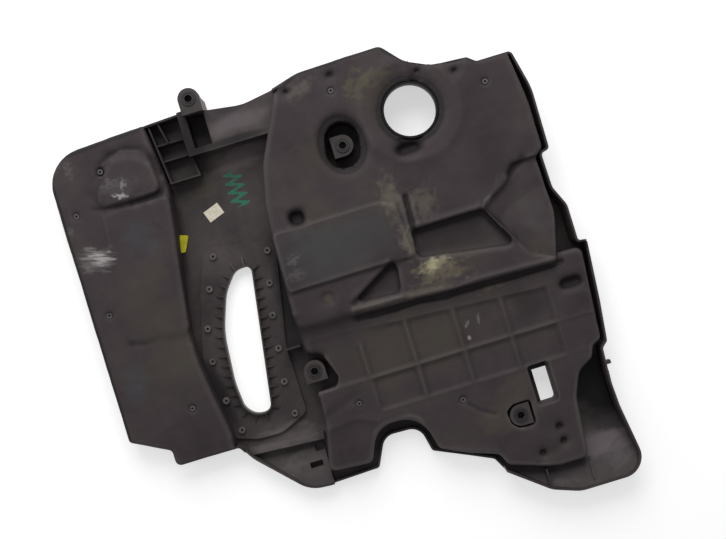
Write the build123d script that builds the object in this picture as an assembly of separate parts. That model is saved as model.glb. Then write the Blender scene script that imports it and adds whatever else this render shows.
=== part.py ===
from build123d import *
import math
import os

# Car engine cover lying on its front face, engine side up.
# Millimetres. +Z points to the engine side, +X and +Y run along the cover's own edges.

# Moulded shell
floor = 3.0
wall = 2.6
rib_wall = 2.0
front_edge = 2.0

# Heights of the skirt's rim, counted from the front face
left_rim = 27.0
rib_box_rim = 28.0
upper_rim = 44.0
lower_rim = 34.0
wing_rim = 36.0
bottom_rim = 12.0
flange_rim = 22.0

# Where one rim height gives way to the next
rib_box_x = -170.0
ledge_x = -126.0
upper_x = -10.0
flange_end_x = -80.0
wing_start_x = 126.0
middle_y = 150.0
lower_y = -12.0
wing_y = -170.0

# Raised ledge behind the top edge, around the hollow behind the ear
ledge_top = 38.0
ledge_front_y = 225.0
ledge_right = -24.0
ledge_lean = 0.42

# Sloped lower lip: the flange on the left and the wing on the right
flange_fold_y = -152.0
flange_tilt = 19.0
flange_fold_r = 20.0
flange_bar_top = 17.0
flange_bar_wide = 8.5
clip_wall = 1.5
clip_low = 0.4
clip_floor = 1.4
wing_fold_y = -230.0
wing_tilt = 23.0
wing_fold_r = 90.0

# Foam liners, thickness above the floor
left_thick = 32.0
upper_thick = 47.0
lower_thick = 35.0
liner_gap = 0.8
foam_round = 5.0
pillow_rise = 6.0
panel_rise = 2.0
plateau_rise = 3.0
pocket_depth = 12.0
shoulder_drop = 6.0
dimple_depth = 9.0
top_dimple_r = 4.0
low_dimple_r = 5.0
round_mark_r = 10.0
tile_depth = 2.0
tile_pitch = 59.0
tile_rib = 4.0

# Oil filler hole, at the bottom of a well that is open to the front
filler_x = 141.0
filler_y = 198.0
filler_r = 31.3
filler_collar = 2.8
collar_below_foam = 4.0
well_r = 46.0
well_top = 36.0

# Rubber grommets and their seats
grommet_r = 8.5
grommet_bore_r = 4.5
grommet_len = 12.0
grommet_proud = 1.5
grommet_groove = 0.9
seat_r = 13.0
seat_clearance = 0.3
seat_top = 36.0
upper_seat = (51.5, 182.0)
middle_seat = (-60.0, -68.0)
lower_seat = (162.0, -191.0)
upper_recess_long = 56.0
upper_recess_wide = 42.0
upper_recess_turn = 80.0

# Ear beyond the top edge
ear_x = -108.0
ear_y = 287.0
ear_top = 51.5
ear_base = 3.5
ear_square = 17.5
ear_bracket_len = 57.0
ear_hollow_end = 12.0

# Slot window, the trim behind it and the trim's staked posts
trim_thick = 5.0
trim_clearance = 0.4
pad_floor = 3.0
collar_rise = 6.0
gusset_len = 11.0
gusset_count = 34
post_r = 2.4
post_head_r = 4.2
post_head = 3.0
post_hole_r = 1.5
post_clearance = 0.3

# Hollow rivets of the liners
pin_r = 2.4
pin_head_r = 3.3
pin_head = 1.8
pin_hole_r = 1.5
pin_clearance = 0.3
pin_dimple_r = 5.5
pin_dimple = 2.0
pin_boss_r = 6.0
pin_boss = 8.0

# Sticker and tag
label_long = 21.0
label_wide = 15.0
label_thick = 0.4
label_x = -124.0
label_y = 153.0
label_turn = 20.0
tag_thick = 2.0

# Outlines as corner points, each with the radius of its corner
cover_corners = [
    (-300, 270, 45), (-118, 278, 8), (-92, 270, 30), (-50, 264, 60), (-12, 270, 80), (24, 280, 60),
    (128, 282, 12), (151, 256, 22), (181, 242, 30), (224, 239, 6), (234, 231, 6), (277, 231, 6),
    (288, 182, 90), (287, 105, 5), (276, 103, 5), (277, 60, 18), (288, 35, 18), (288, -10, 4),
    (300.4, -11, 5), (294, -86, 200), (288, -136, 5), (280.5, -143, 6), (278, -186, 60), (279.5, -215, 60),
    (291.5, -300, 26), (205, -300, 40), (172, -288, 30), (126, -252, 8), (118, -237, 8), (90, -224, 40),
    (48, -205, 6), (41, -172.5, 18), (-3, -171, 18), (-20, -206, 5), (-82, -208, 4), (-108, -206, 40),
    (-163, -150, 60), (-175, -131, 5), (-253, -130, 7), (-253, -110, 5), (-300, -86, 6),
]
left_liner_corners = [
    (-320, 300, 0), (-175, 300, 0), (-164, 197, 8), (-171.5, 140, 100), (-191, 50, 120), (-191, -20, 150),
    (-178, -112, 8), (-182, -160, 0), (-320, -160, 0),
]
upper_block_corners = [
    (5, 292, 0), (-47, 186, 60), (-58, 140, 60), (-61, 100, 60), (-66, -16, 8), (256, -27, 8),
    (271, 30, 60), (268, 101, 8), (279, 109, 8), (279, 165, 60), (272, 230, 0), (270, 292, 0),
]
lower_block_corners = [
    (-66, -2, 8), (-64, -105, 60), (-66, -133, 60), (-79, -190, 8), (-25, -194, 8), (-9, -155, 30),
    (45, -154, 34), (57, -202, 8), (90, -217, 30), (125, -229, 8), (131, -245, 8), (175, -260, 30),
    (190, -263, 20), (226, -263, 8), (229, -230, 60), (233, -190, 40), (245, -161, 20), (265, -150, 8),
    (270, -136, 8), (282, -132, 8), (291, -18, 8),
]
pillow_corners = [(-254, 194, 10), (-172, 193, 10), (-176, 246, 20), (-206, 255, 16), (-236, 245, 16)]
panel_corners = [(-250, 186, 8), (-258, 90, 20), (-263, 28, 10), (-190, 20, 10), (-166, 186, 8)]
plateau_corners = [(-60, 103, 5), (70, 103, 8), (90, 96, 8), (95, 30, 5), (-62, 31, 5)]
triangle_corners = [(6, -4, 4), (69, 32, 4), (71, 20, 4), (67, -7, 5)]
trapezoid_corners = [(100, 60, 5), (189, 60, 6), (216, 8, 5), (98, 26, 8)]
shoulder_corners = [(189, 62, 5), (226, 82, 12), (238, 101, 6), (300, 104, 0), (300, -40, 0), (230, -8, 12)]
slot_corners = [
    (-98.3, 77.5, 7), (-125.7, -100.3, 11), (-146, -99.8, 19), (-157, -87, 20), (-159.8, -55, 100),
    (-154.5, 8, 120), (-138, 54, 60), (-119.5, 76.8, 18),
]
pad_corners = [
    (-146, 112, 14), (-166, 62, 80), (-187, -18, 60), (-186, -76, 50), (-179, -118, 8), (-152, -127, 40),
    (-122, -128, 30), (-88, -113, 8), (-89, -30, 100), (-64, 97, 9),
]
tag_corners = [(-186, 143, 2), (-162, 135, 2), (-171.5, 116, 2), (-186, 119, 2)]

# Foam recesses around two seats, counted from the seat's centre
middle_recess_corners = [(-30, 21, 0), (14, 19, 6), (26, -16, 6), (20, -26, 6), (-30, -26, 0)]
lower_recess_corners = [(-14, -7, 8), (-15, 9, 5), (-6, 15, 4), (16, 15, 3), (15, -15, 3), (-6, -15, 8)]

# Rectangles of the plan: low X, low Y, high X, high Y
foam_hole = (186, -186, 211, -138)
shell_hole = (194, -189, 215, -147)
edge_tab = (277, -163, 284.5, -158.5)
clip_pockets = [(-89, -165, -78, -157), (-100, -183, -84, -176)]
small_pockets = [(-35, 107, -18, 121), (113, 149, 139, 161)]
edge_pocket = (253, -62, 280, -49)

# Rows of shallow tiles in the lower foam block: low Y, high Y where X is 0, its lean, first X, count
tile_rows = [(-94, -36.5, -0.066, -55.0, 5), (-136, -98, 0.0, 4.0, 4)]

# Ribs of the open box beside the ear: start, end, drop below the rim
box_ribs = [
    ((-168, 276), (-160, 199), 3), ((-156, 276), (-150, 248), 3), ((-166, 248), (-130, 248), 5),
    ((-164, 228), (-126, 228), 7), ((-162, 200), (-123, 200), 3), ((-131, 249), (-124, 199), 4),
]
middle_rib = ((-87, -34), (-68, -34))
middle_rib_drop = 8.0
wing_rib = ((173, -263), (172, -286))
wing_rib_drop = 4.0
low_wing_rib = ((229, -266), (225, -291))
low_wing_rib_rise = 3.0
edge_tab_low = 26.0
flange_bar = ((-166, -141), (-73, -147.5))

# Places of the round features
left_posts = [(-140, 101), (-156, 64), (-172, 18), (-178, -22), (-176, -73), (-168, -113)]
right_posts = [(-74, 89), (-83, 50), (-91, 11), (-96, -30), (-101, -71), (-100, -112)]
left_pins = [(-237, 237), (-280, 194), (-277, 68), (-214, -68)]
upper_pins = [(57, 247), (236, 204)]
lower_pins = [(-20, -121), (101, -153)]
top_dimples = [(5, 262), (61, 266), (162, 240), (205, 228)]
low_dimples = [(203, -218), (203, -236), (175, -243)]
round_mark = (-18, 10)

# Lines of the plan along which the one moulding is kept as solids that meet face to face
cut_left_x = -190.0
cut_right_x = -58.0
cut_high_y = 118.0
cut_low_y = -127.0
cut_middle_y = -12.0
cut_well_half = 50.0

# Levels worked out from the sizes above
left_face = floor + left_thick
upper_face = floor + upper_thick
lower_face = floor + lower_thick
pad_top = trim_thick + pad_floor
ear_thick = grommet_len - grommet_proud + ear_base
tallest = max(left_rim, rib_box_rim, upper_rim, lower_rim, wing_rim)

# Reach of cutting tools beyond what they cut
past = 10.0
far = 700.0


def area(corners):
    """Face inside a closed run of corners, each rounded to its own radius."""
    points = [(x, y) for x, y, radius in corners]
    radii = [radius for x, y, radius in corners]
    return make_face(FilletPolyline(*points, radius=radii, close=True))


def slab(face, low, high):
    """Solid over a flat face, from one height to another."""
    return extrude(Pos(0, 0, low) * face, high - low)


def block(rectangle, low, high):
    """Box over a rectangle of the plan."""
    x0, y0, x1, y1 = rectangle
    middle = Pos((x0 + x1) / 2, (y0 + y1) / 2, (low + high) / 2)
    return middle * Box(x1 - x0, y1 - y0, high - low)


def drum(x, y, radius, low, high):
    """Upright cylinder."""
    return Pos(x, y, (low + high) / 2) * Cylinder(radius, high - low)


def rib(start, end, low, high, thick=rib_wall):
    """Upright stiffening rib between two points of the plan."""
    (x0, y0), (x1, y1) = start, end
    length = math.hypot(x1 - x0, y1 - y0)
    turn = math.degrees(math.atan2(y1 - y0, x1 - x0))
    place = Pos((x0 + x1) / 2, (y0 + y1) / 2, (low + high) / 2) * Rot(0, 0, turn)
    return place * Box(length, thick, high - low)


def under_slope(x0, x1, fold_y, tilt, fold_r, lift):
    """Everything below a lip that climbs towards -Y from its rounded fold, raised by lift."""
    angle = math.radians(tilt)
    start_y = fold_y + fold_r * math.tan(angle / 2)
    end_y = fold_y - far

    def on_fold(turn):
        return (start_y - fold_r * math.sin(turn), lift + fold_r * (1 - math.cos(turn)))

    fold = ThreePointArc(on_fold(angle), on_fold(angle / 2), on_fold(0))
    high_end = (end_y, lift + far * math.tan(angle))
    rest = Polyline(on_fold(0), (start_y, -past), (end_y, -past), high_end, on_fold(angle))
    side = Plane(origin=(x0, 0, 0), x_dir=(0, 1, 0), z_dir=(1, 0, 0))
    return extrude(side * make_face(fold + rest), x1 - x0)


def under_lips(lift, reach):
    """Space below the flange and the wing, raised by lift and widened by reach."""
    flange = under_slope(-far, flange_end_x + reach, flange_fold_y, flange_tilt, flange_fold_r, lift)
    wing = under_slope(wing_start_x - reach, far, wing_fold_y, wing_tilt, wing_fold_r, lift)
    return flange + wing


def ledge_area(grow):
    """Plan of the raised ledge, grown at its inner edges and around the hollow behind the ear."""
    left = ledge_x - grow
    front = ledge_front_y - grow
    right = ledge_right + grow
    corners = [(left, front), (right, front), (right + ledge_lean * (far - front), far), (left, far)]
    half = seat_r - rib_wall + wall - grow
    low = ear_y - ear_bracket_len - wall + grow
    high = ear_y - ear_hollow_end + wall - grow
    hollow = Pos(ear_x, (low + high) / 2) * Rectangle(2 * half, high - low)
    return make_face(Polyline(*corners, close=True)) - hollow


def seat_area(place, radius, turn):
    """D shape: round on one side, square on the side that turn points to."""
    square = Pos(radius / 2, 0) * Rectangle(radius, 2 * radius)
    return Pos(*place) * Rot(0, 0, turn) * (Circle(radius) + square)


cover_area = area(cover_corners)
inner_area = offset(cover_area, -wall)
liner_area = offset(cover_area, -(wall + liner_gap))
slot_area = area(slot_corners)
pad_area = area(pad_corners)
posts = left_posts + right_posts
seats = [(upper_seat, 180), (middle_seat, 270), (lower_seat, 0)]
left_rivets = [(x, y, left_face) for x, y in left_pins]
right_rivets = [(x, y, upper_face) for x, y in upper_pins]
right_rivets += [(x, y, lower_face) for x, y in lower_pins]


def rim_cuts():
    """Blocks that trim the skirt to the rim height of each region."""
    regions = [
        ((-far, -far, rib_box_x, far), left_rim),
        ((rib_box_x, middle_y, ledge_x - wall, far), rib_box_rim),
        ((ledge_x - wall, middle_y, upper_x, far), ledge_top),
        ((upper_x, lower_y, far, far), upper_rim),
        ((wing_start_x, wing_y, far, lower_y), lower_rim),
        ((wing_start_x, -far, far, wing_y), wing_rim),
        ((flange_end_x + wall, -far, wing_start_x, lower_y), bottom_rim),
        ((rib_box_x, -far, flange_end_x + wall, middle_y), flange_rim),
    ]
    return [block(rectangle, rim, tallest + past) for rectangle, rim in regions]


def dish():
    """Floor and skirt with the ledge, the flange and the wing."""
    outside = slab(cover_area, 0, tallest)
    outside = chamfer(outside.faces().sort_by(Axis.Z)[0].edges(), front_edge)
    outside -= under_lips(0, 0)
    outside -= slab(ledge_area(0) & inner_area, -past, ledge_top - floor)
    inside = slab(inner_area, floor, tallest + past)
    inside -= under_lips(floor, wall)
    inside -= slab(ledge_area(wall), -past, ledge_top)
    body = outside - inside
    for cut in rim_cuts():
        body -= cut
    return body


def ribs():
    """Open box of ribs beside the ear, ribs at the seat and on the wing, and the bar above the flange."""
    pieces = [rib(start, end, floor / 2, rib_box_rim - drop) for start, end, drop in box_ribs]
    pieces.append(rib(*middle_rib, floor / 2, lower_face - middle_rib_drop))
    pieces.append(rib(*wing_rib, floor / 2, wing_rim - wing_rib_drop) - under_lips(floor / 2, 0))
    low_rib = rib(*low_wing_rib, floor / 2, wing_rim) & under_lips(floor + low_wing_rib_rise, 0)
    pieces.append(low_rib - under_lips(floor / 2, 0))
    bar = rib(*flange_bar, floor / 2, flange_bar_top, flange_bar_wide)
    pieces.append(bar & slab(cover_area, 0, tallest))
    return pieces


def ear_block():
    """Lug beyond the top edge, before its hole is cut."""
    lug_area = Circle(seat_r) + Pos(0, -ear_square / 2) * Rectangle(2 * seat_r, ear_square)
    return slab(Pos(ear_x, ear_y) * lug_area, ear_top - ear_thick, ear_top)


def ear_bracket():
    """Two side walls that run out through the skirt and carry the lug."""
    side = seat_r - rib_wall / 2
    start = ear_y - ear_bracket_len
    walls = [rib((x, start), (x, ear_y), floor / 2, ledge_top) for x in (ear_x - side, ear_x + side)]
    return walls[0] + walls[1] - ear_block()


def clip_pocket(rectangle):
    """Walls and hollow of a blind clip pocket in the flange."""
    x0, y0, x1, y1 = rectangle
    case = (x0 - clip_wall, y0 - clip_wall, x1 + clip_wall, y1 + clip_wall)
    walls = block(case, clip_low, flange_rim) & under_lips(floor / 2, 0)
    return walls, block(rectangle, clip_floor, flange_rim + past)


def seat_hole(x, y, top):
    """Blind hole that takes a grommet."""
    return drum(x, y, grommet_r + seat_clearance, top + grommet_proud - grommet_len, top + past)


def window_pad():
    """Raised pad around the slot, with a collar and its gussets."""
    collar_area = offset(slot_area, rib_wall)
    middle = slot_area.center()
    edge = collar_area.face().outer_wire()
    web = make_face(Polyline((-rib_wall / 2, 0), (gusset_len, 0), (-rib_wall / 2, collar_rise), close=True))
    pad = slab(offset(pad_area, wall), 0, pad_top)
    pad += slab(collar_area, 0, pad_top + collar_rise)
    for index in range(gusset_count):
        spot = edge.position_at(index / gusset_count)
        along = edge.tangent_at(index / gusset_count)
        outward = Vector(along.Y, -along.X, 0)
        if (spot + outward - middle).length < (spot - middle).length:
            outward = -outward
        upright = Plane(origin=(spot.X, spot.Y, pad_top), x_dir=outward, z_dir=(outward.Y, -outward.X, 0))
        pad += extrude(upright * web, rib_wall / 2, both=True)
    for x, y in posts:
        pad -= drum(x, y, post_r + post_clearance, -past, far)
        pad -= drum(x, y, post_head_r + post_clearance, pad_top, far)
    return pad - slab(pad_area, -past, trim_thick) - slab(slot_area, -past, far)


def shell_body():
    """Dish with all that is moulded onto it, apart from the sockets' posts and the lug."""
    body = dish()
    body -= slab(offset(pad_area, wall / 2), -past, pad_top)
    body += window_pad()
    for piece in ribs():
        body += piece
    body += ear_bracket()
    body -= ear_block()
    for rectangle in clip_pockets:
        walls, hollow = clip_pocket(rectangle)
        body = body + walls - hollow
    body += block(edge_tab, edge_tab_low, wing_rim)
    body += drum(filler_x, filler_y, well_r, 0, well_top)
    body -= drum(filler_x, filler_y, well_r - wall, -past, well_top - floor)
    collar_top = upper_face - collar_below_foam
    body += drum(filler_x, filler_y, filler_r + filler_collar, well_top - floor, collar_top)
    body -= drum(filler_x, filler_y, filler_r, -past, far)
    body -= block(shell_hole, -past, floor + past)
    for x, y, face in left_rivets + right_rivets:
        body += drum(x, y, pin_boss_r, floor / 2, floor + pin_boss)
        body -= drum(x, y, pin_r + pin_clearance, floor, far)
    return body


def shell_regions():
    """Columns of the plan that divide the shell, so that no collision hull shuts its openings."""
    square = Pos(filler_x, filler_y) * Rectangle(2 * cut_well_half, 2 * cut_well_half)
    well = slab(square, -past, far)
    return [
        block((-far, -far, cut_left_x, far), -past, far),
        block((cut_left_x, cut_high_y, cut_right_x, far), -past, far),
        block((cut_left_x, cut_low_y, cut_right_x, cut_high_y), -past, far),
        block((cut_left_x, -far, cut_right_x, cut_low_y), -past, far),
        block((cut_right_x, cut_middle_y, far, far), -past, far) - well,
        well,
        block((cut_right_x, -far, far, cut_middle_y), -past, far),
    ]


def cover_shell():
    """One moulding, kept as solids that meet face to face so that each opening stays open in collision."""
    body = shell_body()
    solids = [body & region for region in shell_regions()]
    solids.append(ear_block() - seat_hole(ear_x, ear_y, ear_top))
    for place, turn in seats:
        post = slab(seat_area(place, seat_r, turn), floor, seat_top)
        solids.append(post - seat_hole(*place, seat_top))
    return Compound(children=solids)


def clear_of_shell(foam):
    """Takes the shell's raised features, each with a gap, out of a foam liner."""
    foam -= under_lips(floor + liner_gap, wall + liner_gap)
    foam -= slab(ledge_area(wall + liner_gap), 0, ledge_top + liner_gap)
    foam -= slab(offset(pad_area, wall + liner_gap), 0, pad_top + liner_gap)
    foam -= drum(filler_x, filler_y, well_r + liner_gap, 0, well_top + liner_gap)
    for x, y in posts:
        foam -= drum(x, y, post_head_r + liner_gap, 0, pad_top + post_head + liner_gap)
    for place, turn in seats:
        foam -= slab(seat_area(place, seat_r + liner_gap, turn), 0, far)
    for x, y, face in left_rivets + right_rivets:
        foam -= drum(x, y, pin_boss_r + pin_clearance, 0, floor + pin_boss + pin_clearance)
        foam -= drum(x, y, pin_r + pin_clearance, 0, far)
        foam -= drum(x, y, pin_dimple_r, face - pin_dimple, far)
    return foam


def rounded(body):
    """Foam block with its upper edges rounded."""
    return fillet(body.faces().sort_by(Axis.Z)[-1].edges(), foam_round)


def soft_block(corners, high):
    """Foam block inside the skirt."""
    return rounded(slab(area(corners) & liner_area, floor, high))


def lapped_block(corners, high, rim):
    """Foam block whose upper part laps over the skirt's rim."""
    body = slab(area(corners) & liner_area, floor, high)
    return rounded(body + slab(area(corners) & cover_area, rim + liner_gap, high))


def left_liner():
    foam = lapped_block(left_liner_corners, left_face, left_rim)
    foam += slab(area(panel_corners), floor + foam_round, left_face + panel_rise)
    foam += slab(area(pillow_corners), floor + foam_round, left_face + pillow_rise)
    foam -= slab(offset(area(tag_corners), liner_gap), 0, floor + tag_thick + liner_gap)
    return clear_of_shell(foam)


def upper_block():
    foam = lapped_block(upper_block_corners, upper_face, upper_rim)
    foam += slab(area(plateau_corners), floor + foam_round, upper_face + plateau_rise)
    foam -= slab(area(triangle_corners), upper_face - pocket_depth, far)
    foam -= slab(area(trapezoid_corners), upper_face - pocket_depth, far)
    foam -= slab(area(shoulder_corners), upper_face - shoulder_drop, far)
    foam -= drum(*round_mark, round_mark_r, upper_face - tile_depth, far)
    for pocket in small_pockets:
        foam -= block(pocket, upper_face - pocket_depth, far)
    for x, y in top_dimples:
        foam -= drum(x, y, top_dimple_r, upper_face - dimple_depth, far)
    return foam


def lower_block():
    foam = soft_block(lower_block_corners, lower_face)
    for low_y, high_y, lean, first_x, count in tile_rows:
        for column in range(count):
            left = first_x + column * tile_pitch
            right = left + tile_pitch - tile_rib
            upper_edge = [(right, high_y + lean * right), (left, high_y + lean * left)]
            tile = make_face(Polyline((left, low_y), (right, low_y), *upper_edge, close=True))
            foam -= slab(tile, lower_face - tile_depth, far)
    foam -= block(edge_pocket, lower_face - pocket_depth, far)
    for x, y in low_dimples:
        foam -= drum(x, y, low_dimple_r, lower_face - dimple_depth, far)
    return foam


def right_liner():
    foam = upper_block() + lower_block()
    foam -= block(foam_hole, 0, far)
    foam -= drum(filler_x, filler_y, filler_r + filler_collar + liner_gap, 0, far)
    oval = Rot(0, 0, upper_recess_turn) * SlotOverall(upper_recess_long, upper_recess_wide)
    foam -= slab(Pos(*upper_seat) * oval, 0, far)
    foam -= slab(Pos(*middle_seat) * area(middle_recess_corners), 0, far)
    foam -= slab(Pos(*lower_seat) * area(lower_recess_corners), 0, far)
    return clear_of_shell(foam)


def window_trim():
    """Trim plate in the pad's recess; its posts are staked over above the pad."""
    plate = slab(offset(pad_area, -trim_clearance), 0, trim_thick)
    plate -= slab(slot_area, -past, trim_thick + past)
    for x, y in posts:
        plate += drum(x, y, post_r, 0, pad_top + post_head)
        plate += drum(x, y, post_head_r, pad_top, pad_top + post_head)
        plate -= drum(x, y, post_hole_r, pad_top - post_head, far)
    return plate


def grommet(x, y, top):
    """Rubber socket with a groove around its upper face."""
    high = top + grommet_proud
    middle_r = (grommet_r + grommet_bore_r) / 2
    groove = drum(x, y, middle_r + grommet_groove / 2, high - grommet_groove, far)
    groove -= drum(x, y, middle_r - grommet_groove / 2, -past, far)
    ring = drum(x, y, grommet_r, high - grommet_len, high)
    return ring - drum(x, y, grommet_bore_r, -past, far) - groove


def pin(x, y, face):
    """Hollow rivet: shank down to the floor, head in the foam's dimple."""
    under = face - pin_dimple
    body = drum(x, y, pin_r, floor, under)
    body += drum(x, y, pin_head_r, under, under + pin_head)
    return body - drum(x, y, pin_hole_r, under - pin_head, far)


def pins(rivets):
    return Compound(children=[pin(x, y, face) for x, y, face in rivets])


def paper_label():
    place = Pos(label_x, label_y, floor + label_thick / 2) * Rot(0, 0, label_turn)
    return place * Box(label_long, label_wide, label_thick)


def yellow_tag():
    return slab(area(tag_corners), floor, floor + tag_thick)


os.makedirs("parts", exist_ok=True)
export_step(cover_shell(), "parts/cover_shell.step")
export_step(left_liner(), "parts/left_liner.step")
export_step(right_liner(), "parts/right_liner.step")
export_step(window_trim(), "parts/window_trim.step")
export_step(grommet(ear_x, ear_y, ear_top), "parts/ear_grommet.step")
export_step(grommet(*upper_seat, seat_top), "parts/upper_grommet.step")
export_step(grommet(*middle_seat, seat_top), "parts/middle_grommet.step")
export_step(grommet(*lower_seat, seat_top), "parts/lower_grommet.step")
export_step(pins(left_rivets), "parts/left_liner_pins.step")
export_step(pins(right_rivets), "parts/right_liner_pins.step")
export_step(paper_label(), "parts/paper_label.step")
export_step(yellow_tag(), "parts/yellow_tag.step")
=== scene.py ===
# %% [markdown]
# # An engine cover from its engine side
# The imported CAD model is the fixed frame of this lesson. Blender works in metres and in the CAD
# model's own axes: X and Y run along the cover, and Z points up to the engine side. Places and sizes
# on the cover are written in millimetres, because that is how such a cover is measured, and MM turns
# them into metres.

# %% Load the frame
import bpy
import bmesh
import math
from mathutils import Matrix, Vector, noise


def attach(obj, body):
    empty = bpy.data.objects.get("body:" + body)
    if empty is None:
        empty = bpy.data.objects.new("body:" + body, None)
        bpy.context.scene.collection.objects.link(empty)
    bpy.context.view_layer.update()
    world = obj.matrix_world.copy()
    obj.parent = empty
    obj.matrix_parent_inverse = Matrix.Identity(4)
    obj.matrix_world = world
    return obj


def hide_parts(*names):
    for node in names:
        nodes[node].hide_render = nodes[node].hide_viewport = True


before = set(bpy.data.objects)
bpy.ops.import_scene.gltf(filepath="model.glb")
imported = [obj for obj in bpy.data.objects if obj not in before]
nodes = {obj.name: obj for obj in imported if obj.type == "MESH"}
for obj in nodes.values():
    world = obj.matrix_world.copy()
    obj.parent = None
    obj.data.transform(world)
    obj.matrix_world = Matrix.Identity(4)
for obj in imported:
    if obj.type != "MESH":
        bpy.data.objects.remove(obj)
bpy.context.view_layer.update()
scene = bpy.context.scene
scene.view_settings.view_transform = "Standard"
MM = 0.001
print("CAD nodes:", ", ".join(sorted(nodes)))

# %% [markdown]
# ## Camera
# The photo shows the cover square on, leaning on a wall and turned by 17 degrees in the picture.
# The model lies on its front face, so the same view is a camera that looks straight down and is
# turned about the vertical. The lens gives the width of the photo's frame at the foam's height.

# %% Camera
PICTURE_TURN = math.radians(-17.0)
CAMERA_PLACE = (0.0315, 0.032, 1.340)
FRAME_ANGLE = math.radians(37.05)

lens = bpy.data.cameras.new("camera")
lens.sensor_fit = "HORIZONTAL"
lens.angle = FRAME_ANGLE
camera = bpy.data.objects.new("camera", lens)
camera.location = CAMERA_PLACE
camera.rotation_euler = (0.0, 0.0, PICTURE_TURN)
scene.collection.objects.link(camera)
scene.camera = camera
picture_up = Vector((-math.sin(PICTURE_TURN), math.cos(PICTURE_TURN), 0.0))
picture_right = Vector((math.cos(PICTURE_TURN), math.sin(PICTURE_TURN), 0.0))
print("camera lens", round(lens.lens, 1), "mm")

# %% [markdown]
# ## Nodes and colours
# Each finish is a node tree. One small function adds a node, sets its inputs and links it, and one
# more turns the sRGB hex colours that a painter would name into the linear values that Blender uses.
# Two things come back in every finish here: a colour that drifts a little over the piece, as dust and
# age make it, and the fine grain of the mould.

# %% Material helpers
def linear(hex_colour):
    """Linear RGBA of an sRGB colour such as 3A3637."""
    channels = [int(hex_colour[i:i + 2], 16) / 255 for i in (0, 2, 4)]
    return [c / 12.92 if c <= 0.04045 else ((c + 0.055) / 1.055) ** 2.4 for c in channels] + [1.0]


def add(tree, kind, links=None, inputs=None, stops=None, **settings):
    """Adds a node, sets its properties, inputs and colour stops, and links sockets to it."""
    node = tree.nodes.new(kind)
    for name, value in settings.items():
        setattr(node, name, value)
    for key, value in (inputs or {}).items():
        node.inputs[key].default_value = value
    for key, socket in (links or {}).items():
        tree.links.new(socket, node.inputs[key])
    if stops:
        ramp = node.color_ramp.elements
        for end, (position, colour) in ((ramp[0], stops[0]), (ramp[-1], stops[-1])):
            end.position = position
            end.color = linear(colour)
        for position, colour in stops[1:-1]:
            ramp.new(position).color = linear(colour)
    return node


def finish(name, **sockets):
    """New material with a Principled shader whose plain values are set on its own sockets."""
    material = bpy.data.materials.new(name)
    material.use_nodes = True
    shader = material.node_tree.nodes["Principled BSDF"]
    for key, value in sockets.items():
        shader.inputs[key.replace("_", " ")].default_value = value
    return material, material.node_tree, shader


def mottled(tree, place, width, detail, roughness, stops):
    """Colour that drifts between its stops, in clouds of a width in millimetres."""
    inputs = {"Scale": 1 / (width * MM), "Detail": detail, "Roughness": roughness}
    cloud = add(tree, "ShaderNodeTexNoise", {"Vector": place}, inputs)
    return add(tree, "ShaderNodeValToRGB", {"Fac": cloud.outputs["Fac"]}, stops=stops).outputs["Color"]


def grained(tree, shader, place, width, detail, strength, depth):
    """Fine relief on a shader, from the width and the depth of its grain in millimetres."""
    grain = add(tree, "ShaderNodeTexNoise", {"Vector": place}, {"Scale": 1 / (width * MM), "Detail": detail})
    inputs = {"Strength": strength, "Distance": depth * MM}
    bump = add(tree, "ShaderNodeBump", {"Height": grain.outputs["Fac"]}, inputs)
    tree.links.new(bump.outputs[0], shader.inputs["Normal"])


def dress(piece, material):
    """Gives a piece one material."""
    piece.data.materials.clear()
    piece.data.materials.append(material)
    print(piece.name, "is finished in", material.name)


# %% [markdown]
# ## Floor
# A plain white board lies under the cover. It is lit like everything else, so it keeps the cover's
# soft shadow. What the camera sees of it directly, or in a gloss, is lifted to white by a little
# emission, and that emission sends no light onto the cover.

# %% Floor
FLOOR_LIFT = 0.55
FLOOR_HALF = 3.0

floor_material, tree, shader = finish("painted_board", Roughness=0.7, Base_Color=linear("E6E6E4"))
ray = add(tree, "ShaderNodeLightPath").outputs
seen = ray["Is Camera Ray"]
for other in ("Is Glossy Ray", "Is Transmission Ray"):
    seen = add(tree, "ShaderNodeMath", {0: seen, 1: ray[other]}, operation="MAXIMUM").outputs[0]
lift = add(tree, "ShaderNodeMath", {0: seen}, {1: FLOOR_LIFT}, operation="MULTIPLY")
tree.links.new(lift.outputs[0], shader.inputs["Emission Strength"])
shader.inputs["Emission Color"].default_value = (1.0, 1.0, 1.0, 1.0)
bm = bmesh.new()
bmesh.ops.create_grid(bm, x_segments=1, y_segments=1, size=FLOOR_HALF)
floor_mesh = bpy.data.meshes.new("studio_floor")
bm.to_mesh(floor_mesh)
bm.free()
studio_floor = bpy.data.objects.new("studio_floor", floor_mesh)
scene.collection.objects.link(studio_floor)
dress(studio_floor, floor_material)

# %% [markdown]
# ## Light
# The photo is lit from the picture's top: the slopes that lean that way are pale, and the flat parts
# behind a high rim lie in shade. One large soft lamp stands there, a weak one fills in from the left,
# and a pale room fills the shadows from all sides. Places and sizes of the lamps are in metres.

# %% Lamps
WINDOW_PLACE = picture_up * 1.4 - picture_right * 0.3 + Vector((0, 0, 1.2))
WINDOW_SIZE = 1.4
WINDOW_WATTS = 23.0
SIDE_PLACE = picture_right * -1.5 + picture_up * 0.3 + Vector((0, 0, 1.3))
SIDE_SIZE = 1.2
SIDE_WATTS = 3.0
ROOM_STRENGTH = 0.32


def soft_lamp(name, place, size, watts):
    """Square area lamp that faces the cover."""
    lamp = bpy.data.lights.new(name, "AREA")
    lamp.size = size
    lamp.energy = watts
    holder = bpy.data.objects.new(name, lamp)
    holder.location = place
    holder.rotation_euler = (-Vector(place)).to_track_quat("-Z", "Y").to_euler()
    scene.collection.objects.link(holder)


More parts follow.
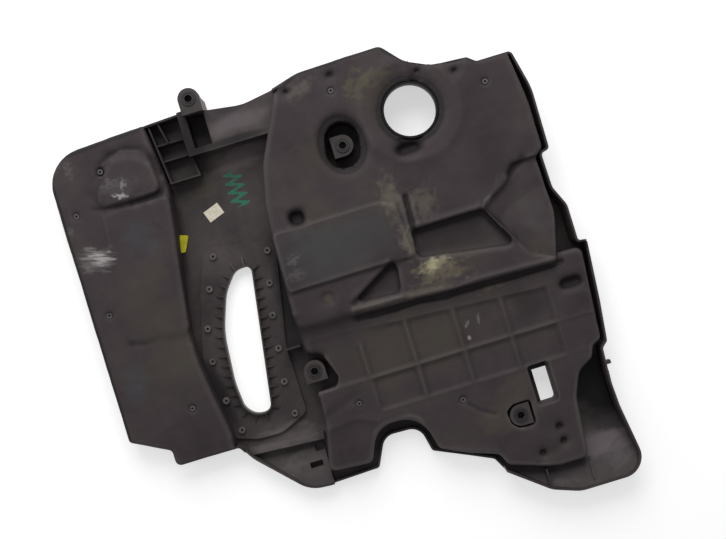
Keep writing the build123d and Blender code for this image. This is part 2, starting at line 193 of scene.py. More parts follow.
soft_lamp("window_lamp", WINDOW_PLACE, WINDOW_SIZE, WINDOW_WATTS)
soft_lamp("side_fill", SIDE_PLACE, SIDE_SIZE, SIDE_WATTS)
world = bpy.data.worlds.new("pale_room")
world.use_nodes = True
room = world.node_tree.nodes["Background"].inputs
room["Color"].default_value = linear("F2F4F6")
room["Strength"].default_value = ROOM_STRENGTH
scene.world = world
print("two lamps and a pale room")

# %% [markdown]
# ## Foam liners
# The two liners are moulded acoustic foam with a skin. Their edges are soft, and the skin sinks and
# swells a little. The CAD solids give their true outline and steps, so each liner starts as a copy of
# its solid. A voxel remesh turns it into an even net of small faces, smoothing rounds every edge as
# foam does, and then the net is pushed like clay for the folds and beads that the mould left. Cloth
# pressure would blow such a block up like a cushion, so it isn't used here.

# %% Turn a CAD solid into an even net
VOXEL = 1.8 * MM
MERGE = 0.01 * MM
SOFTENING = 3


def smooth(bm, verts, rounds):
    """Moves points halfway to the middle of their neighbours, some rounds over."""
    for _ in range(rounds):
        bmesh.ops.smooth_vert(bm, verts=verts, factor=0.5, use_axis_x=True, use_axis_y=True, use_axis_z=True)
    bm.normal_update()


def even_net(node_name):
    """Copy of a CAD node as an even net of faces with rounded edges."""
    mesh = nodes[node_name].data.copy()
    bm = bmesh.new()
    bm.from_mesh(mesh)
    bmesh.ops.remove_doubles(bm, verts=bm.verts, dist=MERGE)
    bm.to_mesh(mesh)
    bm.free()
    rough = bpy.data.objects.new("rough_foam", mesh)
    scene.collection.objects.link(rough)
    remesh = rough.modifiers.new("net", "REMESH")
    remesh.mode = "VOXEL"
    remesh.voxel_size = VOXEL
    shaped = rough.evaluated_get(bpy.context.evaluated_depsgraph_get())
    net = bpy.data.meshes.new_from_object(shaped)
    bpy.data.objects.remove(rough)
    bm = bmesh.new()
    bm.from_mesh(net)
    smooth(bm, bm.verts, SOFTENING)
    print(node_name, "as a net of", len(bm.faces), "faces")
    return bm


# %% [markdown]
# A fold or a bead is a path in the plan. Points of the upper skin near the path are raised or sunk,
# most on the path itself and less and less beside it, as a thumb does in clay. A hollow or a step that
# the foam rounds off further is smoothed once more inside a box.

# %% Push the net like clay
SKIN_ABOVE = 20
FADED = 2.5
LEANS_UP = 0.2
OVAL_STEP = 15


def reach(point, path):
    """Distance in the plan from a point to a path of points in millimetres."""
    best = math.inf
    for (x0, y0), (x1, y1) in zip(path, path[1:]):
        start = Vector((x0, y0))
        run = Vector((x1, y1)) - start
        share = max(0.0, min(1.0, (point - start).dot(run) / run.length_squared))
        best = min(best, (point - start - run * share).length)
    return best


def near(bm, path, width):
    """Points of the upper skin by a path in millimetres, each with a share that fades over the width."""
    edge = FADED * width
    low_x, high_x = min(x for x, y in path) - edge, max(x for x, y in path) + edge
    low_y, high_y = min(y for x, y in path) - edge, max(y for x, y in path) + edge
    for vert in bm.verts:
        x, y = vert.co.x / MM, vert.co.y / MM
        if low_x < x < high_x and low_y < y < high_y and vert.co.z > SKIN_ABOVE * MM:
            away = reach(Vector((x, y)), path) / width
            yield vert, math.exp(-away * away)


def press(bm, path, width, lift):
    """Raises or sinks the upper skin along a path, by millimetres."""
    for vert, share in near(bm, path, width):
        if vert.normal.z > LEANS_UP:
            vert.co.z += lift * MM * share


def oval(x, y, across, up):
    """Closed path round a point, from its half sizes along X and Y."""
    turns = [math.radians(OVAL_STEP * count) for count in range(360 // OVAL_STEP + 1)]
    return [(x + across * math.cos(turn), y + up * math.sin(turn)) for turn in turns]


def soften(bm, box, rounds):
    """Rounds off one part of the skin further: low X, low Y, high X, high Y in millimetres."""
    low_x, low_y, high_x, high_y = [value * MM for value in box]
    inside = [vert for vert in bm.verts if low_x < vert.co.x < high_x and low_y < vert.co.y < high_y]
    smooth(bm, [vert for vert in inside if vert.co.z > SKIN_ABOVE * MM], rounds)


# %% [markdown]
# No foam skin is quite even. Slow noise swells it and finer noise makes small lumps, along each
# point's own normal, on all but the flat underside that lies on the shell.

# %% Uneven skin
SWELL = 0.7 * MM
SWELL_LENGTH = 55 * MM
LUMP = 0.22 * MM
LUMP_LENGTH = 14 * MM
UNDERSIDE = -0.3


def settle(bm):
    """Uneven skin: slow swells and finer lumps on all but the underside."""
    for vert in bm.verts:
        if vert.normal.z > UNDERSIDE:
            slow = noise.noise(vert.co / SWELL_LENGTH)
            fine = noise.noise(vert.co / LUMP_LENGTH)
            vert.co += vert.normal * (SWELL * slow + LUMP * fine)


# %% [markdown]
# Ridges of such a skin are rubbed pale and its creases hold dirt, and the pale ridges and dark creases
# are also painted highlight and painted shade. The net itself knows where they are: on a ridge a point
# stands above the middle of its neighbours, in a crease below it. That height is kept on the points as
# an attribute for the material to read. Painted shade in hollows, pockets, creases and under steps,
# painted highlight on lit lips and folds, and darker bands along outer edges are added to it from lists.

# %% Mark ridges and creases
SPREAD = 4
OWN_SHARE = 0.4


# Height over the neighbours gives rubbed wear and painted highlight on ridges, dirt and painted shade in
# creases.
def mark_ridges_and_creases(bm):
    """Height of each point over its neighbours, in net widths, spread over a few neighbours."""
    layer = bm.verts.layers.float.new("wear_and_painted_light")
    bm.normal_update()
    bm.verts.index_update()
    around = [[edge.other_vert(vert).index for edge in vert.link_edges] for vert in bm.verts]
    places = [vert.co.copy() for vert in bm.verts]
    heights = []
    for vert, ring in zip(bm.verts, around):
        middle = sum((places[index] for index in ring), Vector()) / len(ring)
        heights.append((vert.co - middle).dot(vert.normal) / VOXEL)
    for _ in range(SPREAD):
        means = [sum(heights[index] for index in ring) / len(ring) for ring in around]
        heights = [OWN_SHARE * own + (1 - OWN_SHARE) * mean for own, mean in zip(heights, means)]
    for vert, height in zip(bm.verts, heights):
        vert[layer] = height


# %% Finish a liner
def foam_piece(bm, name, node_name, marks):
    """Foam object that stands for its CAD solid, with marks that darken it below zero, mostly painted shade,
    and lighten it above zero, as painted highlight.
    """
    mark_ridges_and_creases(bm)
    layer = bm.verts.layers.float["wear_and_painted_light"]
    for path, width, amount in marks:
        for vert, share in near(bm, path, width):
            vert[layer] += amount * share
    settle(bm)
    mesh = bpy.data.meshes.new(name)
    bm.to_mesh(mesh)
    bm.free()
    for polygon in mesh.polygons:
        polygon.use_smooth = True
    piece = bpy.data.objects.new(name, mesh)
    scene.collection.objects.link(piece)
    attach(piece, "root")
    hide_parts(node_name)
    print(name, "has", len(mesh.polygons), "faces")
    return piece


# %% [markdown]
# ### Left liner
# A pillow stands at its upper end, with a valley round its top and a crease under it. A panel below
# has a faint raised edge, and a shallow fold crosses it low down. Each soft part is a box and its
# rounds of smoothing, each fold a path with its width and its lift, and each mark a path with its
# width and its amount. The marks are painted shade in the valley and the crease, a painted highlight
# on the low fold, and darker bands along the left and top edges.

# %% Left liner
LEFT_SOFT_PARTS = [
    ((-262, 186, -205, 202), 12), ((-205, 186, -166, 202), 4), ((-264, 196, -240, 230), 20),
    ((-270, 8, -186, 38), 16), ((-186, 196, -164, 250), 6), ((-272, 34, -242, 182), 24),
    ((-200, 34, -164, 182), 14),
]
LEFT_FOLDS = [
    ([(-240, 226), (-233, 243), (-221, 252), (-202, 252), (-185, 246), (-170, 232), (-166, 216)], 6, -3.5),
    ([(-258, 195), (-233, 191), (-212, 189.5)], 3, -0.8),
    ([(-212, 189.5), (-194, 189), (-176, 191)], 3, -2.0),
    ([(-251, 186), (-249, 177), (-250, 161), (-252, 146)], 2.5, 0.6),
    ([(-208, 186), (-206, 150)], 7, 0.9),
    ([(-190, 184), (-188, 160)], 5, 0.8),
    ([(-287, 235), (-289, 120), (-291, 20)], 5, 0.5),
    ([(-227, 24), (-245, 22), (-262, 27)], 4, -0.9),
    ([(-262, 27), (-268, -20)], 5, -0.8),
    ([(-240, 232), (-256, 214)], 9, -1.5),
]
# Painted shade in the valley and the crease, a painted highlight on the low fold, darker bands along the left
# and top edges.
LEFT_MARKS = [
    ([(-236, 240), (-221, 252), (-202, 253), (-185, 247), (-170, 233), (-166, 216)], 6, -0.06),
    ([(-230, 190.5), (-212, 189.5), (-194, 189), (-176, 191)], 4, -0.09),
    ([(-176, 191), (-166, 200)], 5, -0.08),
    ([(-226, 25), (-244, 23)], 3, 0.04),
    ([(-299, -84), (-299, 245)], 3.5, -0.24),
    ([(-298, 248), (-290, 263), (-272, 269), (-230, 272), (-178, 274)], 4.5, -0.24),
]

bm = even_net("left_liner")
for box, rounds in LEFT_SOFT_PARTS:
    soften(bm, box, rounds)
for path, width, lift in LEFT_FOLDS:
    press(bm, path, width, lift)
left_foam = foam_piece(bm, "left_foam", "left_liner", LEFT_MARKS)

# %% [markdown]
# ### Right liner
# The skin dips softly round the filler hole and round the upper fastener, and the edge of the high
# block has a pale lip over a dark crease. The paths that are used more than once, or are long, come
# first, then the parts that are rounded off further: hollows, dimples and steps.

# %% Paths and soft parts of the right liner
FILLER = (141, 198)
RECESS_EDGE = oval(51.5, 182, 24, 31)
STEP_CREASE = [
    (10, -22.5), (35, -24.5), (53, -25), (86, -23.5), (100, -26), (117, -28.5), (135, -27.5), (153, -28.5),
    (175, -28), (199, -29.5), (237, -29), (262, -29),
]
STEP_LIP = [
    (7, -12), (40, -13), (67, -13), (84, -16), (105, -17), (127, -21), (156, -18), (214, -20), (250, -22),
]
LOWER_LIP = [
    (-79, -188), (-26, -192), (-20, -180), (-10, -158), (2, -153), (34, -152), (44, -158), (55, -200),
    (90, -215), (124, -227), (131, -243), (175, -258), (190, -261), (225, -261), (227, -230), (231, -190),
    (243, -163), (263, -150), (269, -135), (281, -130),
]
UPPER_EDGE = [(-6, 268), (24, 279), (126, 281), (150, 257), (181, 243), (223, 239), (233, 232), (276, 231)]
RIGHT_SOFT_PARTS = [
    ((-72, -52, 40, 0), 8), ((-72, -54, 22, 2), 20), ((-72, -56, 4, 4), 60), ((-40, 102, -13, 126), 24),
    ((105, 141, 147, 169), 50), ((246, -69, 286, -42), 44), ((98, 6, 218, 30), 14),
    ((162, -255, 218, -206), 30), ((0, -12, 78, 2), 12), ((56, 0, 80, 36), 6), ((184, 52, 240, 106), 8),
    ((212, -12, 240, 14), 10),
]
TOP_DIMPLES = [(5, 262), (61, 266), (162, 240), (205, 228)]
DIMPLE_HALF = 13
DIMPLE_ROUNDS = 50

bm = even_net("right_liner")
for box, rounds in RIGHT_SOFT_PARTS:
    soften(bm, box, rounds)
for x, y in TOP_DIMPLES:
    soften(bm, (x - DIMPLE_HALF, y - DIMPLE_HALF, x + DIMPLE_HALF, y + DIMPLE_HALF), DIMPLE_ROUNDS)
print("softened", len(RIGHT_SOFT_PARTS), "parts and", len(TOP_DIMPLES), "dimples")

# %% [markdown]
# Then come its folds. Thin ridges part the shallow tiles of the low block. They are narrower than the
# net can carry through the softening, so they are raised again here. A row of tiles is its lower edge,
# its upper edge at X zero, the lean of that upper edge, its first X and its number of tiles.

# %% Folds of the right liner
RIGHT_FOLDS = [
    (oval(*FILLER, 39, 39), 6, -3.0), (oval(*FILLER, 60, 60), 8, 1.5), (RECESS_EDGE, 7, -4.0),
    ([(105, 100), (103, 61)], 2.8, -3.0), ([(98, 102), (97, 60)], 2.6, 1.4),
    ([(112, 98), (110, 66)], 2.6, 1.2), ([(-58, 31), (-35, 32), (62, 33)], 2.4, 1.0),
    ([(-58, 103), (70, 103)], 2.4, 0.6), (STEP_LIP, 3.2, 1.6), (STEP_CREASE, 3.2, -2.6),
    ([(116, 155), (136, 155)], 7, -2.5), (oval(-26, 114, 6, 6), 6, -2.0),
    ([(102, 64), (150, 64), (186, 64)], 3.5, 1.5), ([(192, 58), (214, 14)], 4, 1.2),
    ([(232, 92), (252, 104)], 5, -1.6), ([(196, 66), (224, 86)], 6, 1.2),
    ([(205, 40), (236, 60), (262, 66)], 9, -1.4), ([(238, 20), (252, -6)], 9, 1.0),
    ([(6, -9), (40, -11), (66, -11)], 3, 1.3), ([(8, 2), (40, 20), (64, 33)], 3, 0.8),
    ([(106, -160), (118, -172), (133, -181)], 2.6, -1.5), ([(200, -212), (204, -236), (178, -243)], 12, -2.0),
    ([(-70, -140), (-30, -136), (-4, -146)], 5, 1.0), ([(-66, -126), (-40, -118), (-22, -112)], 6, -1.2),
    ([(60, -205), (92, -212), (122, -222)], 4, 1.0),
]
TILE_ROWS = [(-94, -36.5, -0.066, -55.0, 5), (-136, -98, 0.0, 4.0, 4)]
TILE_PITCH = 59.0
TILES_END = 280
RIDGE_BESIDE = 2
RIDGE_WIDTH = 1.8
RIDGE_LIFT = 0.3

ridges = []
for low, high, lean, first, count in TILE_ROWS:
    ends = (first, TILES_END)
    ridges.append([(x, low - RIDGE_BESIDE) for x in ends])
    ridges.append([(x, high + lean * x + RIDGE_BESIDE) for x in ends])
    for column in range(count + 1):
        x = first + column * TILE_PITCH - RIDGE_BESIDE
        ridges.append([(x, low), (x, high + lean * x)])
for path, width, lift in RIGHT_FOLDS:
    press(bm, path, width, lift)
for path in ridges:
    press(bm, path, RIDGE_WIDTH, RIDGE_LIFT)
print("pressed", len(RIGHT_FOLDS), "folds and", len(ridges), "ridges")

# %% [markdown]
# Last come its marks: painted shade under the step, round the filler hole, along the top edge and
# in the hollows, pockets and creases, and a painted highlight on the lip along the lower edge.

# %% Marks of the right liner
# Painted shade below zero, and a painted highlight on the lower lip above zero.
RIGHT_MARKS = [
    (STEP_CREASE, 4.5, -0.12), (LOWER_LIP, 2.4, 0.09), (oval(*FILLER, 36, 36), 4.0, -0.24),
    (RECESS_EDGE, 5, -0.22), (UPPER_EDGE, 3.5, -0.22), ([(116, 155), (136, 155)], 9, -0.12),
    (oval(-26, 114, 5, 5), 6, -0.12), ([(257, -55), (276, -56)], 7, -0.12),
    ([(102, 57), (150, 57), (188, 57)], 4, -0.16), ([(190, 57), (214, 13)], 4, -0.12),
    ([(105, 100), (103, 62)], 3, -0.1), ([(10, -2), (40, 16), (68, 30)], 4, -0.12),
    ([(232, 92), (252, 104)], 4, -0.1), ([(238, 104), (232, 92), (222, 84)], 4, -0.08),
    ([(203, -216), (203, -238), (176, -244)], 7, -0.05),
]
# The top dimples get painted shade as well.
DIMPLE_REACH = 2
DIMPLE_WIDTH = 6
DIMPLE_SHADE = -0.09

right_marks = list(RIGHT_MARKS)
for x, y in TOP_DIMPLES:
    right_marks.append(([(x - DIMPLE_REACH, y), (x + DIMPLE_REACH, y)], DIMPLE_WIDTH, DIMPLE_SHADE))
right_foam = foam_piece(bm, "right_foam", "right_liner", right_marks)

# %% [markdown]
# ## Foam skin
# Moulded polyurethane foam with a closed skin: a dark warm grey, nearly matt, with fine pores. Years
# in an engine bay left dusty, brownish and pale yellow stains. They could be painted on an image, but
# a stain made of nodes stays sharp at any distance. Each one is a soft spot whose edge is eaten into
# by noise, coarse for spilled dirt and drawn out into hair lines for scuffs.

# %% One patch, for stains and painted light
PATCH_DEPTH = 30
INNER_START = 0.25
EDGE_START = 0.22
EDGE_END = 0.68


def patch(tree, place, where, size, turn, grain, ragged):
    """Mask of one patch, in millimetres: its middle, its half sizes, its turn in degrees, the length and
    width of its grain, and how deep the grain eats into its edge."""
    turned = (0, 0, math.radians(turn))
    extent = (size[0] * MM, size[1] * MM, PATCH_DEPTH * MM)
    inputs = {"Location": [value * MM for value in where], "Rotation": turned, "Scale": extent}
    spot = add(tree, "ShaderNodeMapping", {"Vector": place}, inputs, vector_type="TEXTURE")
    ball = add(tree, "ShaderNodeTexGradient", {"Vector": spot.outputs[0]}, gradient_type="SPHERICAL")
    inputs = {"Rotation": turned, "Scale": (grain[0] * MM, grain[1] * MM, grain[0] * MM)}
    lines = add(tree, "ShaderNodeMapping", {"Vector": place}, inputs, vector_type="TEXTURE")
    inputs = {"Scale": 1.0, "Detail": 3.0, "Roughness": 0.5}
    speck = add(tree, "ShaderNodeTexNoise", {"Vector": lines.outputs[0]}, inputs).outputs["Fac"]
    # The bite swings about zero, and the ball is thinned a little so that a ragged patch keeps its size
    bite = add(tree, "ShaderNodeMath", {0: speck}, {1: ragged, 2: -0.5 * ragged}, operation="MULTIPLY_ADD")
    links = {0: ball.outputs["Fac"], 2: bite.outputs[0]}
    both = add(tree, "ShaderNodeMath", links, {1: 1 / (1 + 0.25 * ragged)}, operation="MULTIPLY_ADD")
    inputs = {"From Min": 0.0, "From Max": INNER_START}
    within = add(tree, "ShaderNodeMapRange", {"Value": ball.outputs["Fac"]}, inputs)
    inputs = {"From Min": EDGE_START, "From Max": EDGE_END}
    links = {"Value": both.outputs[0]}
    edge = add(tree, "ShaderNodeMapRange", links, inputs, interpolation_type="SMOOTHSTEP")
    links = {0: within.outputs[0], 1: edge.outputs[0]}
    return add(tree, "ShaderNodeMath", links, operation="MULTIPLY").outputs[0]


def overlaid(tree, place, colour, overlays):
    """Colour with a list of patches laid over it, one after the other."""
    for where, size, turn, grain, ragged, tint, strength in overlays:
        mask = patch(tree, place, where, size, turn, grain, ragged)
        mask = add(tree, "ShaderNodeMath", {0: mask}, {1: strength}, operation="MULTIPLY").outputs[0]
        links = {"Factor": mask, 6: colour}
        colour = add(tree, "ShaderNodeMix", links, {7: linear(tint)}, data_type="RGBA").outputs[2]
    return colour


# %% [markdown]
# The stains are listed in rows. Each row gives the middle, the half sizes, the
# turn, the grain, its bite, the tint and the strength. First come broad tones, then the crumbs and
# smears round the step, and last the pale scuffs. Two rows are painted light rather than stains: a
# painted shade in the trapezoid pocket among the broad tones, and a painted highlight at the pocket's
# upper right corner after the scuffs.

# %% Stains on the foam
FOAM_STAINS_AND_PAINTED_LIGHT = [
    ((60, -75, 38), (220, 80), 0, (40, 30), 1.0, "48423A", 0.6),
    ((208, -68, 38), (46, 44), 0, (30, 20), 0.8, "2B2427", 0.6),
    ((150, -183, 38), (80, 50), 20, (30, 20), 1.0, "524B40", 0.6),
    ((-225, 20, 37), (80, 160), 0, (40, 30), 1.0, "4A443C", 0.6),
    ((-214, 150, 37), (44, 40), -17, (30, 16), 1.0, "45464A", 0.6),
    ((-268, -20, 36), (30, 50), -17, (30, 16), 1.0, "454649", 0.5),
    ((10, 66, 53), (150, 64), 0, (40, 20), 0.8, "444444", 0.75),
    ((10, 170, 50), (60, 60), 0, (30, 20), 1.2, "474039", 0.5),
    # Painted shade in the trapezoid pocket.
    ((150, 40, 28), (110, 44), 0, (20, 20), 0.4, "2A2426", 0.7),
    # Crumbs and smears round the step.
    ((96, -12, 50), (70, 18), 8, (14, 8), 1.4, "5E5649", 0.7),
    ((28, -11, 50), (60, 13), 4, (16, 8), 1.4, "575046", 0.6),
    ((122, 4, 45), (56, 30), -12, (12, 8), 1.4, "6C6353", 0.75),
    ((115, 11, 45), (36, 19), 10, (9, 7), 1.2, "8A836A", 0.85),
    ((111, 14, 45), (21, 13), 10, (7, 6), 1.1, "B4AD8B", 0.8),
    ((128, 17, 45), (16, 6), -10, (6, 3), 1.6, "8D866F", 0.6),
    ((88, 106, 51), (24, 50), 3, (10, 11), 1.2, "5C554A", 0.75),
    ((87, 100, 51), (20, 48), 3, (6, 8), 1.4, "696255", 0.55),
    ((91, 50, 51), (15, 44), 6, (6, 6), 1.4, "625B4F", 0.65),
    ((92, 48, 51), (13, 36), 6, (6, 7), 1.4, "756E5F", 0.55),
    ((124, 89, 50), (34, 36), 20, (8, 7), 1.4, "585149", 0.65),
    ((122, 86, 50), (28, 30), 60, (9, 5), 1.6, "675F55", 0.4),
    ((22, 259, 50), (32, 23), 20, (9, 6), 1.2, "625C56", 0.7),
    ((100, 248, 50), (42, 38), 0, (9, 7), 1.6, "59533F", 0.7),
    ((171, -33, 38), (32, 11), 4, (10, 5), 1.4, "5A5345", 0.6),
    ((-18, 10, 50), (15, 15), 0, (6, 6), 0.8, "564E40", 0.6),
    ((132, -68, 37), (10, 4), 55, (5, 2), 1.4, "847E7E", 0.6),
    ((147, -65, 37), (4, 12), -8, (2, 5), 1.4, "7E7878", 0.55),
    ((130, -84, 37), (4, 5), 0, (20, 20), 0.2, "A39D99", 0.7),
    ((-45, 67, 53), (16, 11), 20, (6, 4), 1.5, "6A6664", 0.5),
    ((-47, 48, 53), (18, 11), 10, (7, 4), 1.5, "666260", 0.5),
    ((-274, 138, 36), (36, 27), -17, (16, 7), 1.4, "6C6665", 0.8),
    ((-272, 138, 36), (32, 22), -17, (18, 3.2), 2.2, "928D8C", 0.65),
    ((-266, 137, 36), (23, 13), -17, (16, 2.6), 2.0, "BDB8B7", 0.7),
    ((-222, 212, 41), (34, 26), 0, (10, 8), 1.2, "534D4D", 0.6),
    ((-221, 201, 41), (15, 6), -17, (5, 3), 1.5, "B0ABAA", 0.8),
    ((-215, 214, 41), (8, 11), -30, (3, 4), 1.8, "8E8988", 0.65),
    ((-229, 220, 41), (20, 12), -17, (4, 3), 1.8, "686362", 0.5),
    ((-273, 250, 34), (9, 24), 0, (5, 4), 1.5, "666160", 0.5),
    ((-292, 178, 34), (9, 9), 0, (4, 3), 1.5, "6A6564", 0.5),
    # Painted highlight at the upper right corner of the trapezoid pocket.
    ((196, 67, 50), (18, 6), 36, (12, 6), 0.6, "777170", 0.6),
    # Pale mottles of the skin to the right.
    ((244, 40, 44), (36, 60), 25, (22, 14), 1.2, "524B4E", 0.4),
    ((225, 84, 46), (26, 16), 30, (14, 9), 1.2, "544D4F", 0.4),
]
print(len(FOAM_STAINS_AND_PAINTED_LIGHT), "stains on the foam")

# %% Foam material
# Pale tint: rubbed wear and painted highlight on ridges and lips. Dark tint: dirt and painted shade in
# creases and hollows.
RUBBED_AND_HIGHLIGHT_TINT = "726B69"
DIRT_AND_SHADE_TINT = "1C1819"

foam, tree, shader = finish("moulded_foam_skin", Roughness=0.7, Specular_IOR_Level=0.35)
place = add(tree, "ShaderNodeTexCoord").outputs["Object"]
skin = [(0.32, "372E31"), (0.52, "41383B"), (0.72, "4A433E")]
colour = mottled(tree, place, width=75, detail=6.0, roughness=0.6, stops=skin)
colour = overlaid(tree, place, colour, FOAM_STAINS_AND_PAINTED_LIGHT)
# Ridges and lips get the pale tint as painted highlight, creases and hollows the dark tint as painted shade.
wear_and_painted_light = add(tree, "ShaderNodeAttribute", attribute_name="wear_and_painted_light").outputs["Fac"]
for tint, start, full, most in [(RUBBED_AND_HIGHLIGHT_TINT, 0.012, 0.1, 0.4), (DIRT_AND_SHADE_TINT, -0.012, -0.1, 0.75)]:
    inputs = {"From Min": start, "From Max": full, "To Max": most}
    share = add(tree, "ShaderNodeMapRange", {"Value": wear_and_painted_light}, inputs).outputs[0]
    links = {"Factor": share, 6: colour}
    colour = add(tree, "ShaderNodeMix", links, {7: linear(tint)}, data_type="RGBA").outputs[2]
tree.links.new(colour, shader.inputs["Base Color"])
grained(tree, shader, place, width=2.2, detail=4.0, strength=0.35, depth=0.5)
dress(left_foam, foam)
dress(right_foam, foam)

# %% [markdown]
# ## Moulded shell
# The shell is glass-filled polyamide, moulded with a fine grain. Its CAD solids already have its form,
# so only its finish is made here. It is black, dusty and a little brown with age, and has a faint satin
# gloss that shows where the wing and the flange lean towards the light. Painted shade darkens the filler
# collar, the grooves beside the liners, the hollow under the ear, the ledge's front edge and the wing's
# flat part, and painted light brightens the ledge, the flange, the trough under the ledge and the wing's
# slope, with a painted sheen there. The left and top rims are darker. The rows read as those of the
# foam's stains do.

# %% Shell colour
SHELL_STAINS_AND_PAINTED_LIGHT = [
    # Painted shade on the filler collar and the floor of its well.
    ((141, 198, 42), (120, 120), 0, (20, 20), 0.1, "0C0A0B", 1.0),
    # Darker along the left and top rims.
    ((-300, 95, 24), (26, 290), 0, (20, 20), 0.2, "161314", 0.9),
    ((-215, 282, 24), (130, 30), 3, (20, 20), 0.2, "161314", 0.9),
    ((70, 286, 40), (120, 24), 2, (20, 20), 0.2, "161314", 0.9),
    ((190, 250, 40), (90, 26), -12, (20, 20), 0.2, "161314", 0.9),
    # Painted shade in the grooves beside the liners.
    ((-65, 35, 3), (26, 130), -8, (20, 20), 0.4, "161314", 0.85),
    ((-184, -60, 3), (22, 100), 11, (20, 20), 0.4, "161314", 0.8),
    ((-178, 122, 3), (18, 120), -10, (20, 20), 0.4, "1A1717", 0.7),
    # Painted shade on the wing's flat part behind the rim.
    ((266, -185, 3), (62, 100), 0, (30, 20), 0.5, "0C0A0B", 0.92),
    # Painted sheen and highlight on the wing's slope and front edge.
    ((248, -256, 14), (60, 30), 10, (22, 12), 1.0, "7E7176", 0.5),
    ((266, -270, 20), (40, 30), 30, (16, 9), 1.0, "6A6365", 0.4),
    ((199, -287, 12), (44, 14), -14, (18, 10), 0.8, "7D6E72", 0.6),
    # Painted light on the ledge.
    ((-62, 247, 35), (80, 22), 4, (24, 14), 0.6, "6B6264", 0.7),
    # Painted shade along the ledge's front edge and in the hollow under the ear.
    ((-72, 227, 38), (66, 8), 0, (24, 14), 0.3, "1E1A1B", 0.75),
    ((-145, 242, 28), (64, 80), 5, (20, 20), 0.4, "1B1718", 0.75),
    ((-119, 243, 34), (36, 62), 5, (20, 20), 0.3, "161314", 0.9),
    # Painted light on the flange's bar and floor.
    ((-118, -140, 10), (90, 34), -4, (30, 14), 0.8, "766E6D", 0.7),
    ((-120, -172, 10), (40, 20), 10, (16, 6), 1.4, "5E5858", 0.5),
    # A brownish patch on the trough floor.
    ((-125, 185, 3), (40, 22), 10, (16, 10), 1.2, "4F4A40", 0.6),
    # Painted light that lifts the ledge's shadow on the trough floor.
    ((-72, 210, 3), (70, 30), 10, (24, 14), 0.6, "7C7071", 0.75),
]

shell, tree, shader = finish("moulded_polyamide", Roughness=0.5, Specular_IOR_Level=0.28)
place = add(tree, "ShaderNodeTexCoord").outputs["Object"]
dust = [(0.35, "3A3334"), (0.75, "574F4E")]
colour = mottled(tree, place, width=60, detail=6.0, roughness=0.65, stops=dust)
colour = overlaid(tree, place, colour, SHELL_STAINS_AND_PAINTED_LIGHT)
print(len(SHELL_STAINS_AND_PAINTED_LIGHT), "stains on the shell")

# %% [markdown]
# A workshop hand left a green paint mark in the trough. Here it is a plain wavy stroke: a sine wave
# along Y gives the stroke's middle, and what lies near that middle, within the mark's length and on the
# upper face of the trough's floor, is painted. Noise wears holes in it.

# %% Green paint mark
MARK_PLACE = (-89, 173)
MARK_LENGTH = 44
MARK_SWING = 6.5
MARK_WAVE = 11.0
MARK_HALF_WIDTH = 5.5
FLOOR_FACE = 3.5
FLOOR_REACH = 1.5
WORN_SPOT = 4
MARK_TINT = "2F7A5F"

axes = add(tree, "ShaderNodeSeparateXYZ", {"Vector": place}).outputs
along = add(tree, "ShaderNodeMath", {0: axes["Y"]}, {1: MARK_PLACE[1] * MM}, operation="SUBTRACT").outputs[0]
turns = {1: 2 * math.pi / (MARK_WAVE * MM)}
angle = add(tree, "ShaderNodeMath", {0: along}, turns, operation="MULTIPLY").outputs[0]
wave = add(tree, "ShaderNodeMath", {0: angle}, operation="SINE").outputs[0]
swing = {1: MARK_SWING * MM, 2: MARK_PLACE[0] * MM}
middle = add(tree, "ShaderNodeMath", {0: wave}, swing, operation="MULTIPLY_ADD").outputs[0]
inputs = {"Scale": 1 / (WORN_SPOT * MM), "Detail": 4.0}
worn = add(tree, "ShaderNodeTexNoise", {"Vector": place}, inputs).outputs["Fac"]
kept = {"From Min": 0.34, "From Max": 0.46, "To Max": 0.95}
painted = add(tree, "ShaderNodeMapRange", {"Value": worn}, kept).outputs[0]
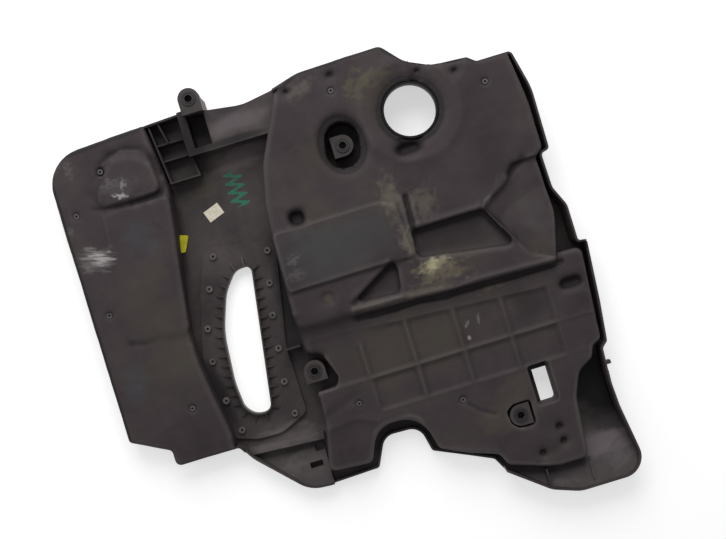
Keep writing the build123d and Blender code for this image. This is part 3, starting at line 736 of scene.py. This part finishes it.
for links, inputs in [({0: axes["X"], 1: middle}, {2: MARK_HALF_WIDTH * MM}),
                      ({0: along}, {1: 0.0, 2: MARK_LENGTH / 2 * MM}),
                      ({0: axes["Z"]}, {1: FLOOR_FACE * MM, 2: FLOOR_REACH * MM})]:
    inside = add(tree, "ShaderNodeMath", links, inputs, operation="COMPARE").outputs[0]
    painted = add(tree, "ShaderNodeMath", {0: painted, 1: inside}, operation="MULTIPLY").outputs[0]
mix = add(tree, "ShaderNodeMix", {"Factor": painted, 6: colour}, {7: linear(MARK_TINT)}, data_type="RGBA")
tree.links.new(mix.outputs[2], shader.inputs["Base Color"])
grained(tree, shader, place, width=1.2, detail=3.0, strength=0.2, depth=0.2)
dress(nodes["cover_shell"], shell)

# %% [markdown]
# ## Small pieces
# The trim with its staked posts and the rivets are unfilled plastic with a soft gloss, the sockets are
# matt rubber, the sticker is aged paper without any gloss, and the tag is dyed plastic. Their solids
# need no more form from a step away, so each gets two tones of its colour and a fine grain. A row is
# the material, its two tones, its roughness, the width and depth of its grain, and its pieces.

# %% Small finishes
CLOUD_PER_GRAIN = 4
SMALL_FINISHES = [
    ("black_polypropylene", "4C4746", "706A69", 0.4, 1.5, 0.1, ["window_trim"]),
    ("grey_polypropylene", "4E4A4A", "6C6867", 0.45, 1.0, 0.1, ["left_liner_pins", "right_liner_pins"]),
    ("moulded_rubber", "2B2829", "3C393A", 0.6, 1.0, 0.1,
     ["ear_grommet", "upper_grommet", "middle_grommet", "lower_grommet"]),
    ("aged_paper", "E4DAC2", "F6EEDB", 0.8, 1.0, 0.05, ["paper_label"]),
    ("dyed_yellow_plastic", "C2BA1A", "E0D82C", 0.4, 2.0, 0.05, ["yellow_tag"]),
]

for name, dark, light, roughness, width, depth, pieces in SMALL_FINISHES:
    material, tree, shader = finish(name, Roughness=roughness)
    place = add(tree, "ShaderNodeTexCoord").outputs["Object"]
    tones = [(0.35, dark), (0.7, light)]
    colour = mottled(tree, place, CLOUD_PER_GRAIN * width, detail=5.0, roughness=0.5, stops=tones)
    tree.links.new(colour, shader.inputs["Base Color"])
    grained(tree, shader, place, width, detail=3.0, strength=0.3, depth=depth)
    for piece in pieces:
        dress(nodes[piece], material)
